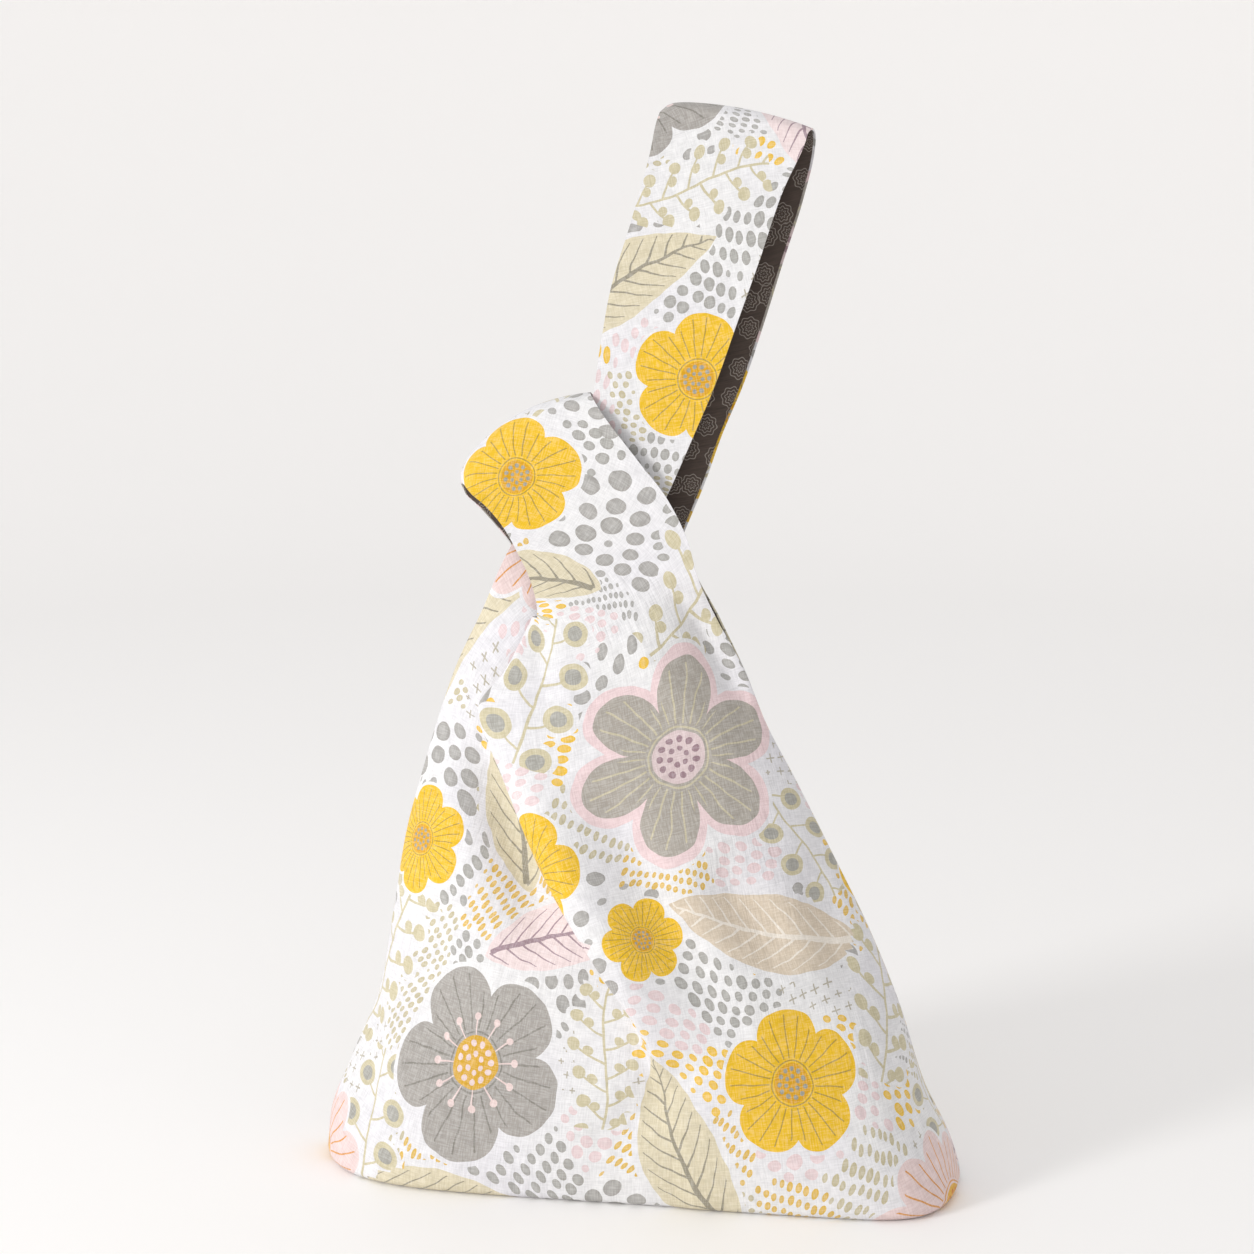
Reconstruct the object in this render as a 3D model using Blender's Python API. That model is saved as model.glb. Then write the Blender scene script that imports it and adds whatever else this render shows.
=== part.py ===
# A lined knot bag of printed cotton, standing on its base. It is sewn from four pieces of cloth: a
# front and a back, each cut in one with half of a long handle and half of a short one, and a dark
# lining cut to match. The long handle is drawn through the short one, so the right half of the bag
# laps over the left half in a pleat that starts at the knot and fades towards the base.
# Metres. X runs along the base, Y to the back, and Z up from the floor.
import math
from collections import namedtuple

import bmesh
import bpy
import numpy as np

CLOTH = 0.0010  # thickness of the outer cloth, and of the lining
APART = 0.0007  # clear space between two cloths, and across a seam
FOOT = 0.0050  # radius where the base turns up into the walls
CORNER = 0.0200  # how far the bottom seam stops short of the base's ends
FRONT, BACK = -1.0, 1.0  # which way along Y a panel faces
SHIFT = (0.0090, -0.0145)  # puts the middle of the whole bag over the origin
UNDER_SHARE = 0.35  # how much of a pleat's thickness presses its under layer in
FLAP_CLEAR = 0.0020  # how far past the fold under it the flap stays flat

# Faces across a panel and up it. A crowding over 1 sets the outer columns of the left part and of the
# flap closer to the side seams.
LEFT_ACROSS, FOLD_ACROSS, TUCK_ACROSS, FLAP_ACROSS = 5, 3, 2, 10
BASE_UP, FOOT_UP, BODY_UP, BAND_UP = 2, 2, 12, 2
LEFT_CROWDING, FLAP_CROWDING = 1.25, 1.2
OUTLINE_STEPS = 180
CREST_TURNS = (45, 90, 135)  # degrees over a handle's top at which its rows lie
SHARP_TURN = 60

# Level sections of the body. left and right are its side seams and seam is their Y, with front and
# back the depth to each side of it. A square is 2 for a half oval and more for one with a fuller
# corner, crease is 2 for a round side and less for a sharper one, and gape is half the width of an
# armhole.
Section = namedtuple(
    "Section",
    "z left right seam front back left_square right_square crease left_gape right_gape",
)
BODY = (
    Section(0.000, -0.1790, 0.1625, 0.000, 0.0618, 0.0500, 6.0, 14.0, 2.0, 0.0000, 0.0000),
    Section(0.020, -0.1780, 0.1560, 0.001, 0.0640, 0.0530, 4.6, 9.0, 2.0, 0.0000, 0.0000),
    Section(0.050, -0.1674, 0.1405, 0.003, 0.0620, 0.0550, 3.6, 4.6, 1.9, 0.0000, 0.0000),
    Section(0.090, -0.1520, 0.1257, 0.006, 0.0580, 0.0530, 2.8, 3.0, 1.8, 0.0000, 0.0000),
    Section(0.130, -0.1457, 0.1080, 0.010, 0.0515, 0.0480, 2.4, 2.5, 1.7, 0.0000, 0.0000),
    Section(0.170, -0.1400, 0.0880, 0.015, 0.0440, 0.0410, 2.2, 2.2, 1.6, 0.0000, 0.0000),
    Section(0.205, -0.1315, 0.0705, 0.020, 0.0360, 0.0340, 2.0, 2.0, 1.6, 0.0000, 0.0000),
    Section(0.235, -0.1232, 0.0550, 0.025, 0.0280, 0.0270, 2.0, 2.0, 1.6, 0.0000, 0.0000),
    Section(0.262, -0.1140, 0.0432, 0.029, 0.0200, 0.0200, 2.0, 2.0, 1.6, 0.0010, 0.0005),
    Section(0.290, -0.1005, 0.0280, 0.033, 0.0145, 0.0145, 2.0, 2.0, 1.6, 0.0050, 0.0050),
)
# How far back the handles lean over the body
LEAN = ((0.290, 0.033), (0.400, 0.052), (0.500, 0.072), (0.600, 0.092))

# The pleat at the same sections. lap is the X at which the upper layer starts and tuck the length of
# cloth that runs back under it. turn is how far round the cloth goes at each of its two folds, in
# degrees, with the radius of the fold under the flap and of the fold at the flap's edge.
Pleat = namedtuple("Pleat", "z lap tuck turn under edge")
FRONT_PLEAT = (
    Pleat(0.000, 0.0150, 0.008, 8, 0.0120, 0.0120),
    Pleat(0.020, 0.0120, 0.008, 10, 0.0120, 0.0120),
    Pleat(0.050, 0.0050, 0.007, 25, 0.0110, 0.0120),
    Pleat(0.090, -0.0130, 0.003, 80, 0.0035, 0.0045),
    Pleat(0.130, -0.0360, 0.008, 172, 0.0016, 0.0036),
    Pleat(0.170, -0.0600, 0.028, 180, 0.0013, 0.0034),
    Pleat(0.205, -0.0785, 0.036, 180, 0.0012, 0.0034),
    Pleat(0.243, -0.0940, 0.042, 180, 0.0012, 0.0034),
    Pleat(0.262, -0.0775, 0.046, 180, 0.0012, 0.0034),
    Pleat(0.290, -0.0640, 0.050, 180, 0.0012, 0.0034),
)
BACK_PLEAT = (
    Pleat(0.000, 0.0100, 0.008, 6, 0.0120, 0.0120),
    Pleat(0.020, 0.0080, 0.008, 6, 0.0120, 0.0120),
    Pleat(0.050, 0.0020, 0.008, 12, 0.0120, 0.0120),
    Pleat(0.090, -0.0100, 0.006, 30, 0.0090, 0.0110),
    Pleat(0.130, -0.0250, 0.003, 82, 0.0035, 0.0045),
    Pleat(0.170, -0.0430, 0.008, 172, 0.0016, 0.0036),
    Pleat(0.205, -0.0560, 0.024, 180, 0.0013, 0.0034),
    Pleat(0.235, -0.0640, 0.036, 180, 0.0012, 0.0034),
    Pleat(0.262, -0.0640, 0.043, 180, 0.0012, 0.0034),
    Pleat(0.290, -0.0600, 0.047, 180, 0.0012, 0.0034),
)

# Soft ridges and troughs, each along a line from x, z to far_x, far_z, with half its width and how
# far it stands out, or in where that is negative.
Fold = namedtuple("Fold", "x z far_x far_z half_width rise")
FRONT_FOLDS = (
    Fold(-0.0790, 0.2130, -0.0080, 0.0760, 0.0130, 0.0035),
    Fold(-0.0400, 0.2030, 0.0350, 0.0900, 0.0150, -0.0025),
    Fold(-0.0050, 0.3000, 0.0560, 0.2260, 0.0090, -0.0040),
    Fold(-0.0210, 0.2780, 0.0440, 0.2110, 0.0100, 0.0025),
    Fold(0.0300, 0.0820, -0.0250, 0.0260, 0.0120, -0.0030),
    Fold(-0.1300, 0.1500, -0.1050, 0.0500, 0.0180, -0.0025),
    Fold(0.0900, 0.1300, 0.1300, 0.0350, 0.0160, 0.0030),
)
BACK_FOLDS = (
    Fold(-0.0400, 0.1900, 0.0150, 0.0800, 0.0140, 0.0030),
    Fold(-0.0100, 0.2700, 0.0500, 0.1700, 0.0120, -0.0030),
    Fold(0.0700, 0.1300, 0.1150, 0.0300, 0.0160, -0.0025),
    Fold(-0.1250, 0.1300, -0.0900, 0.0300, 0.0180, 0.0025),
)

# Each half of a handle from the body to its crest: the X and Z of both edges, and how far the cloth
# lies from the leaning middle plane. rise is the crest's height over the last row, and arch how far
# its middle stands above its ends.
Band = namedtuple("Band", "left_x left_z right_x right_z out")
LONG_FRONT = (
    Band(-0.0865, 0.3220, -0.0075, 0.3120, 0.0093),
    Band(-0.0700, 0.3500, 0.0030, 0.3400, 0.0093),
    Band(-0.0545, 0.3770, 0.0120, 0.3620, 0.0093),
    Band(-0.0425, 0.4040, 0.0205, 0.3860, 0.0096),
    Band(-0.0385, 0.4320, 0.0295, 0.4130, 0.0106),
    Band(-0.0332, 0.4650, 0.0390, 0.4470, 0.0125),
    Band(-0.0235, 0.5000, 0.0480, 0.4800, 0.0130),
    Band(-0.0145, 0.5370, 0.0600, 0.5170, 0.0115),
    Band(-0.0110, 0.5575, 0.0695, 0.5430, 0.0090),
)
LONG_BACK = (
    Band(-0.0850, 0.3220, -0.0010, 0.3120, 0.0093),
    Band(-0.0680, 0.3500, 0.0090, 0.3370, 0.0093),
    Band(-0.0515, 0.3770, 0.0185, 0.3610, 0.0093),
    Band(-0.0405, 0.4040, 0.0265, 0.3850, 0.0096),
    Band(-0.0350, 0.4320, 0.0380, 0.4140, 0.0106),
    Band(-0.0270, 0.4650, 0.0475, 0.4450, 0.0125),
    Band(-0.0170, 0.5000, 0.0570, 0.4780, 0.0130),
    Band(-0.0100, 0.5370, 0.0680, 0.5150, 0.0115),
    Band(-0.0100, 0.5575, 0.0735, 0.5410, 0.0090),
)
LONG_RISE, LONG_ARCH = 0.0090, 0.0040
SHORT_FRONT = (
    Band(-0.0715, 0.3120, 0.0190, 0.3120, 0.0165),
    Band(-0.0785, 0.3270, 0.0120, 0.3340, 0.0168),
    Band(-0.0880, 0.3370, 0.0010, 0.3540, 0.0168),
    Band(-0.0985, 0.3480, -0.0155, 0.3740, 0.0165),
    Band(-0.1085, 0.3560, -0.0415, 0.3965, 0.0150),
)
SHORT_BACK = (
    Band(-0.0745, 0.3120, 0.0135, 0.3120, 0.0165),
    Band(-0.0840, 0.3240, 0.0085, 0.3320, 0.0168),
    Band(-0.0955, 0.3330, -0.0030, 0.3520, 0.0168),
    Band(-0.1075, 0.3430, -0.0195, 0.3720, 0.0165),
    Band(-0.1170, 0.3535, -0.0430, 0.3950, 0.0150),
)
SHORT_RISE, SHORT_ARCH = 0.0110, 0.0080

OUTER_COLOUR = (0.870, 0.850, 0.830, 1.0)
LINING_COLOUR = (0.040, 0.031, 0.028, 1.0)


def smooth_columns(rows, z):
    """A table's columns at height z, on a curve through its rows that never overshoots them."""
    table = np.array(rows, float)
    steps = np.diff(table[:, 0])[:, None]
    slopes = np.diff(table, axis=0) / steps
    before, after = slopes[:-1], slopes[1:]
    same_way = before * after > 0
    safe_sum = np.where(same_way, before + after, 1.0)
    middle = np.where(same_way, 2.0 * before * after / safe_sum, 0.0)
    tangents = np.vstack((slopes[:1], middle, slopes[-1:]))
    k = int(np.clip(np.searchsorted(table[:, 0], z) - 1, 0, len(rows) - 2))
    t = (z - table[k, 0]) / steps[k, 0]
    start, end = table[k], table[k + 1]
    return (
        start * (1 + 2 * t) * (1 - t) ** 2
        + end * t * t * (3 - 2 * t)
        + steps[k] * (tangents[k] * t * (1 - t) ** 2 - tangents[k + 1] * t * t * (1 - t))
    )


def lean(z):
    heights, backs = zip(*LEAN)
    return float(np.interp(z, heights, backs))


def outline(section, facing):
    """One wall of a level section, left seam to right: length along it, points and outward normals."""
    across = np.sin(np.linspace(-math.pi / 2, math.pi / 2, OUTLINE_STEPS + 1))
    square = np.where(across < 0, section.left_square, section.right_square)
    bulge = np.clip(1 - np.abs(across) ** square, 0, 1) ** (1 / section.crease)
    depth = section.front if facing == FRONT else section.back
    gape = APART / 2 + np.interp(across, (-1, 1), (section.left_gape, section.right_gape))
    middle = (section.left + section.right) / 2
    half = (section.right - section.left) / 2
    points = np.column_stack(
        (middle + half * across, section.seam + facing * (gape + (depth - gape) * bulge))
    )
    ways = np.gradient(points, axis=0)
    ways /= np.linalg.norm(ways, axis=1)[:, None]
    normals = facing * np.column_stack((-ways[:, 1], ways[:, 0]))
    steps = np.linalg.norm(np.diff(points, axis=0), axis=1)
    return np.concatenate(([0.0], np.cumsum(steps))), points, normals


def folded_out(x, z, facing):
    """How far the panel's folds raise it at each x of a row at height z."""
    out = np.zeros_like(x)
    for fold in FRONT_FOLDS if facing == FRONT else BACK_FOLDS:
        run, drop = fold.far_x - fold.x, fold.far_z - fold.z
        length = math.hypot(run, drop)
        along = ((x - fold.x) * run + (z - fold.z) * drop) / length**2
        aside = ((x - fold.x) * drop - (z - fold.z) * run) / length
        fading = np.clip(4 * along * (1 - along), 0, 1)
        out += fold.rise * fading * np.exp(-((aside / fold.half_width) ** 2))
    return out


def pleated_row(section, pleat, facing):
    """Points across a panel: left part, fold under the flap, tuck, edge of the flap, flap."""
    length, points, normals = outline(section, facing)
    turn = math.radians(pleat.turn)
    lap = np.interp(pleat.lap, points[:, 0], length)
    radii = pleat.under + pleat.edge
    left_end = lap - radii * math.sin(turn) - pleat.tuck * math.cos(turn)
    step = radii * (1 - math.cos(turn)) + pleat.tuck * math.sin(turn)
    under, over = -step * UNDER_SHARE, step * (1 - UNDER_SHARE)

    f = np.linspace(0, 1, LEFT_ACROSS + 1) ** LEFT_CROWDING
    along, out = [left_end * f], [under * f * f * (3 - 2 * f)]
    a = turn * np.arange(1, FOLD_ACROSS + 1) / FOLD_ACROSS
    along.append(left_end + pleat.under * np.sin(a))
    out.append(under + pleat.under * (1 - np.cos(a)))
    f = np.arange(1, TUCK_ACROSS + 1) / TUCK_ACROSS
    along.append(along[-1][-1] + pleat.tuck * math.cos(turn) * f)
    out.append(out[-1][-1] + pleat.tuck * math.sin(turn) * f)
    a = turn * np.arange(FOLD_ACROSS - 1, -1, -1) / FOLD_ACROSS
    along.append(along[-1][-1] + pleat.edge * (math.sin(turn) - np.sin(a)))
    out.append(out[-1][-1] + pleat.edge * (np.cos(a) - math.cos(turn)))
    f = 1 - (1 - np.arange(1, FLAP_ACROSS + 1) / FLAP_ACROSS) ** FLAP_CROWDING
    along.append(lap + (length[-1] - lap) * f)
    clear = max(lap, left_end + pleat.under + 2 * CLOTH + APART + FLAP_CLEAR)
    f = np.clip((along[-1] - clear) / (length[-1] - clear), 0, 1)
    out.append(over * (1 - f * f * (3 - 2 * f)))

    along, out = np.concatenate(along), np.concatenate(out)
    at = np.column_stack([np.interp(along, length, points[:, i]) for i in (0, 1)])
    away = np.column_stack([np.interp(along, length, normals[:, i]) for i in (0, 1)])
    out += folded_out(at[:, 0], section.z, facing)
    level = np.full((len(along), 1), section.z)
    return np.hstack((at + out[:, None] * away, level))


def body_rows(pleats, facing):
    """Rows of points up one panel, from the bottom seam to the neck."""
    foot_section = Section(*smooth_columns(BODY, FOOT))
    foot_row = pleated_row(foot_section, Pleat(*smooth_columns(pleats, FOOT)), facing)
    middle = (foot_section.left + foot_section.right) / 2
    half = (foot_section.right - foot_section.left) / 2
    depth = foot_section.front if facing == FRONT else foot_section.back
    seam = foot_section.seam + facing * APART / 2

    def drawn_in(across, inwards, z):
        row = foot_row.copy()
        row[:, 0] = middle + (row[:, 0] - middle) * (1 - across / half)
        row[:, 1] = seam + (row[:, 1] - seam) * (1 - inwards)
        row[:, 2] = z
        return row

    rows = []
    for i in range(BASE_UP):
        t = 1 - i / BASE_UP
        rows.append(drawn_in(FOOT + CORNER * t, FOOT / depth * (1 - t) + t, 0.0))
    for i in range(FOOT_UP):
        a = math.pi / 2 * i / FOOT_UP
        inset = FOOT * (1 - math.sin(a))
        rows.append(drawn_in(inset, inset / depth, FOOT * (1 - math.cos(a))))
    top = BODY[-1].z
    for z in np.linspace(FOOT, top, BODY_UP + 1):
        section = Section(*smooth_columns(BODY, z))
        rows.append(pleated_row(section, Pleat(*smooth_columns(pleats, z)), facing))
    return rows


def band_row(band, facing, count):
    """Points across a handle, from its left edge to its right."""
    f = np.linspace(0, 1, count)
    x = band.left_x + (band.right_x - band.left_x) * f
    z = band.left_z + (band.right_z - band.left_z) * f
    y = np.array([lean(height) for height in z]) + facing * band.out
    return np.column_stack((x, y, z))


def crest_rows(front_row, back_row, rise, arch):
    """Rows over the top of a handle. The middle one is the seam where front and back meet."""
    f = np.linspace(0, 1, len(front_row))
    across = front_row[-1] - front_row[0]
    up = np.array((-across[2], 0.0, across[0]))
    up /= np.linalg.norm(up)
    rows = []
    for degrees in CREST_TURNS:
        a = math.radians(degrees)
        height = math.sin(a) * (rise + arch * 4 * f * (1 - f))
        between = front_row + (back_row - front_row) * (1 - math.cos(a)) / 2
        rows.append(between + height[:, None] * up)
    return rows


def through(stations, per_span):
    """Rows on a smooth curve through the stations, the first and last of which only give its direction."""

    def way(a, b):
        return np.linalg.norm(b - a, axis=1)[:, None]

    def slope(a, b, c):
        return (b - a) / way(a, b) - (c - a) / (way(a, b) + way(b, c)) + (c - b) / way(b, c)

    rows = []
    for before, start, end, after in zip(stations, stations[1:], stations[2:], stations[3:]):
        leaving = slope(before, start, end) * way(start, end)
        arriving = slope(start, end, after) * way(start, end)
        for t in np.arange(1, per_span + 1) / per_span:
            place = start * (1 + 2 * t) * (1 - t) ** 2 + end * t * t * (3 - 2 * t)
            rows.append(place + leaving * t * (1 - t) ** 2 - arriving * t * t * (1 - t))
    return rows


def handle_halves(front_body, back_body, front_bands, back_bands, rise, arch):
    """A handle's rows above the body, up to the seam at its crest: those of the front, then of the back."""
    count = front_body[-1].shape[0]
    front = [band_row(band, FRONT, count) for band in front_bands]
    back = [band_row(band, BACK, count) for band in back_bands]
    crest = crest_rows(front[-1], back[-1], rise, arch)
    loop = front_body[-2:] + front + crest + back[::-1] + back_body[:-3:-1]
    rows = through(loop, BAND_UP)
    half = (len(front) + 2) * BAND_UP
    seam = rows[half - 1]
    gap = np.array((0.0, APART / 2, 0.0))
    return rows[: half - 1] + [seam - gap], rows[half : len(rows) - 1][::-1] + [seam + gap]


def panels():
    """Both panels: for each the rows of its body, and of its halves of the long and short handles."""
    bodies = {
        FRONT: body_rows(FRONT_PLEAT, FRONT),
        BACK: body_rows(BACK_PLEAT, BACK),
    }
    left_end = LEFT_ACROSS + 1
    right_start = LEFT_ACROSS + 2 * FOLD_ACROSS + TUCK_ACROSS
    left = {side: [row[:left_end] for row in rows] for side, rows in bodies.items()}
    right = {side: [row[right_start:] for row in rows] for side, rows in bodies.items()}
    long_halves = handle_halves(
        left[FRONT], left[BACK], LONG_FRONT, LONG_BACK, LONG_RISE, LONG_ARCH
    )
    short_halves = handle_halves(
        right[FRONT], right[BACK], SHORT_FRONT, SHORT_BACK, SHORT_RISE, SHORT_ARCH
    )
    return {
        side: (bodies[side], long_halves[i], short_halves[i], right_start)
        for i, side in enumerate((FRONT, BACK))
    }


def sheet(rows, long_rows, short_rows, right_start):
    """A bmesh of the panel's outer face, with the seams' vertices marked."""
    bm = bmesh.new()
    seam = bm.verts.layers.int.new("seam")

    def add_rows(rows_of_points, below):
        lines = [below] if below else []
        for points in rows_of_points:
            lines.append([bm.verts.new(point) for point in points])
        for low, high in zip(lines, lines[1:]):
            for i in range(len(low) - 1):
                bm.faces.new((low[i], low[i + 1], high[i + 1], high[i]))
        return lines

    body = add_rows(rows, None)
    left_end = LEFT_ACROSS + 1
    long_lines = add_rows(long_rows, body[-1][:left_end])
    short_lines = add_rows(short_rows, body[-1][right_start:])
    seams = list(body[0]) + long_lines[-1] + short_lines[-1]
    for line in body:
        section = Section(*smooth_columns(BODY, line[0].co.z))
        for vert, gape in ((line[0], section.left_gape), (line[-1], section.right_gape)):
            if gape < 2 * (CLOTH + APART):
                seams.append(vert)
    for vert in seams:
        vert[seam] = 1
    bmesh.ops.triangulate(bm, faces=bm.faces[:])
    return bm


def cloth(name, parts, facing, depth, material):
    """One piece of cloth as a closed solid, its outer face this deep under the panel's outer face."""
    bm = sheet(*parts)
    if facing == BACK:
        bmesh.ops.reverse_faces(bm, faces=bm.faces[:])
    bm.normal_update()
    seam = bm.verts.layers.int["seam"]
    out = bm.verts.layers.float_vector.new("out")
    for vert in bm.verts:
        away = vert.normal.copy()
        if vert[seam]:
            away.y = 0.0
            away.normalize()
        vert[out] = away
    for vert in bm.verts:
        vert.co -= vert[out] * depth
    grown = bmesh.ops.extrude_face_region(bm, geom=bm.faces[:])
    for vert in (item for item in grown["geom"] if isinstance(item, bmesh.types.BMVert)):
        vert.co -= vert[out] * CLOTH
    bmesh.ops.recalc_face_normals(bm, faces=bm.faces[:])
    bmesh.ops.translate(bm, vec=(*SHIFT, 0.0), verts=bm.verts[:])
    mesh = bpy.data.meshes.new(name)
    bm.to_mesh(mesh)
    bm.free()
    mesh.shade_smooth()
    mesh.set_sharp_from_angle(angle=math.radians(SHARP_TURN))
    mesh.materials.append(material)
    piece = bpy.data.objects.new(name, mesh)
    bpy.context.collection.objects.link(piece)
    return piece


def cotton(name, colour, roughness):
    material = bpy.data.materials.new(name)
    material.use_nodes = True
    shader = material.node_tree.nodes["Principled BSDF"]
    shader.inputs["Base Color"].default_value = colour
    shader.inputs["Roughness"].default_value = roughness
    shader.inputs["Metallic"].default_value = 0.0
    return material


def main():
    for item in list(bpy.data.objects):
        bpy.data.objects.remove(item, do_unlink=True)
    printed = cotton("printed_cotton", OUTER_COLOUR, 0.85)
    dark = cotton("dark_lining_cotton", LINING_COLOUR, 0.9)
    both = panels()
    for side, label in ((FRONT, "front"), (BACK, "back")):
        cloth(f"outer_{label}", both[side], side, 0.0, printed)
        cloth(f"lining_{label}", both[side], side, CLOTH + APART, dark)


main()
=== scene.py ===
# A lined knot bag of printed cotton, standing with its long strap drawn through the short one.
# Metres, X along the base, Y to the back, Z up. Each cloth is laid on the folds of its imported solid.
import math
from collections import namedtuple
from functools import partial

import bmesh
import bpy
import numpy as np
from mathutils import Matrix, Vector


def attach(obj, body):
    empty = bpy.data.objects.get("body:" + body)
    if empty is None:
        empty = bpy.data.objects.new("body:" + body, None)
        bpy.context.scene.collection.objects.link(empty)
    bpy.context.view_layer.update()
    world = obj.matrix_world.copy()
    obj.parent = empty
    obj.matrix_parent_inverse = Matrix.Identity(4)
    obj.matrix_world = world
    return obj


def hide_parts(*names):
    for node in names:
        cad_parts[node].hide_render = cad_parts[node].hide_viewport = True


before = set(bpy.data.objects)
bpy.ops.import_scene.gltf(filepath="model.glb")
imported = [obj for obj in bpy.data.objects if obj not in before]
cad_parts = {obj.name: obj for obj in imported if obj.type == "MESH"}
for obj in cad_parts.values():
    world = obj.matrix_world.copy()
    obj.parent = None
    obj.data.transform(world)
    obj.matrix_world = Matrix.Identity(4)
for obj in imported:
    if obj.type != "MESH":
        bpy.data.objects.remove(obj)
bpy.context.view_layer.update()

print("frame loaded:", ", ".join(sorted(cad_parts)))

front, back = -1.0, 1.0  # which way along Y a panel faces


def rowsOf(kind, *rows):
    # a table whose columns have names
    return [kind(*row) for row in rows]


# What the four pieces of cloth share
clothCut = {
    "thick": 0.0010,
    "liningDepth": 0.00115,  # from the printed face to the lining's own
    # how far the printed cloth rolls in over the lining at the left and right free edges
    "bodyRoll": (0.0025, 0.0025), "longRoll": (0.0025, 0.0012), "shortRoll": (0.0008, 0.0025),
    "seamGap": 0.0003,
    "sewnGape": 0.0020,  # a side that gapes by less is sewn shut
    "rollMost": 0.85,  # a roll takes up to this share of the faces beside the edge
    "foot": 0.0050,  # radius where the base turns up
    "cornerCut": 0.0200,  # how far the bottom seam stops short of the base's ends
    "middle": (0.0090, -0.0145),  # moves the bag's own middle to the origin
    "underShare": 0.35,  # how much of a pleat presses its under layer in
    "flapClear": 0.0020,
    "tuckRoom": 2.7,  # thicknesses of cloth that the tucked fold takes up
    "foldFade": 0.0150,  # soft folds fade this near to a side seam
    "leftAcross": 30, "foldAcross": 12, "tuckAcross": 8, "flapAcross": 50,
    "leftCrowding": 1.25, "flapCrowding": 1.2,
    "baseUp": 8, "footUp": 8, "bodyUp": 96, "bandUp": 10,
    "outlineSteps": 360,
    "crestTurns": (45, 90, 135),
    "cadBodyUp": 12,  # body rows of the solids, whose spacing the straps start from
    "flat": (0.56, 0.58),  # the panel as cut, straps included
    "area": 0.146,
    "sharpFrom": 60,  # degrees between faces
}
unfolding = {"rounds": 8, "upFrom": 0.03, "upTo": 0.24, "bottom": 0.0005}

# Level sections of the body, from the floor to the neck
bodySection = namedtuple(
    "bodySection",
    "z left right seam front back leftSquare rightSquare crease leftGape rightGape",
)
bodySections = rowsOf(
    bodySection,
    (0.0, -0.179, 0.1625, 0.0, 0.0618, 0.05, 6.0, 14.0, 2.0, 0.0, 0.0),
    (0.02, -0.178, 0.156, 0.001, 0.064, 0.053, 4.6, 9.0, 2.0, 0.0, 0.0),
    (0.05, -0.1674, 0.1417, 0.003, 0.062, 0.055, 3.6, 4.6, 1.9, 0.0, 0.0),
    (0.09, -0.152, 0.1286, 0.006, 0.058, 0.053, 2.8, 3.0, 1.8, 0.0, 0.0),
    (0.13, -0.1457, 0.1116, 0.01, 0.0515, 0.048, 2.4, 2.5, 1.7, 0.0, 0.0),
    (0.17, -0.14, 0.0908, 0.015, 0.044, 0.041, 2.2, 2.2, 1.6, 0.0, 0.0),
    (0.205, -0.1315, 0.072, 0.02, 0.036, 0.034, 2.0, 2.0, 1.6, 0.0, 0.0),
    (0.235, -0.1232, 0.055, 0.025, 0.028, 0.027, 2.0, 2.0, 1.6, 0.0, 0.0),
    (0.262, -0.114, 0.0432, 0.029, 0.02, 0.02, 2.0, 2.0, 1.6, 0.001, 0.0005),
    (0.29, -0.1005, 0.028, 0.033, 0.0145, 0.0145, 2.0, 2.0, 1.6, 0.005, 0.005),
)
strapLean = ((0.290, 0.033), (0.400, 0.052), (0.500, 0.072), (0.600, 0.092))

# The pleat that starts at the knot: where the flap's edge lies, the cloth tucked under it, how far
# round its two folds go in degrees, and their radii
pleatRow = namedtuple("pleatRow", "z lap tuck turn under edge")
frontPleat = rowsOf(
    pleatRow,
    (0.0, 0.03, 0.008, 8, 0.012, 0.012),
    (0.02, 0.029, 0.008, 10, 0.012, 0.012),
    (0.05, 0.023, 0.007, 25, 0.011, 0.012),
    (0.09, 0.004, 0.003, 80, 0.0035, 0.0045),
    (0.13, -0.027, 0.008, 172, 0.0016, 0.0036),
    (0.17, -0.0565, 0.028, 180, 0.0013, 0.0034),
    (0.205, -0.0765, 0.036, 180, 0.0012, 0.0034),
    (0.243, -0.093, 0.042, 180, 0.0012, 0.0034),
    (0.262, -0.0795, 0.046, 180, 0.0012, 0.0034),
    (0.29, -0.0665, 0.049, 180, 0.0012, 0.0034),
)
backPleat = rowsOf(
    pleatRow,
    (0.0, 0.01, 0.008, 6, 0.012, 0.012),
    (0.02, 0.008, 0.008, 6, 0.012, 0.012),
    (0.05, 0.002, 0.008, 12, 0.012, 0.012),
    (0.09, -0.01, 0.006, 30, 0.009, 0.011),
    (0.13, -0.025, 0.003, 82, 0.0035, 0.0045),
    (0.17, -0.043, 0.008, 172, 0.0016, 0.0036),
    (0.205, -0.056, 0.024, 180, 0.0013, 0.0034),
    (0.235, -0.064, 0.036, 180, 0.0012, 0.0034),
    (0.262, -0.064, 0.043, 180, 0.0012, 0.0034),
    (0.29, -0.06, 0.047, 180, 0.0012, 0.0034),
)

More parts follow.
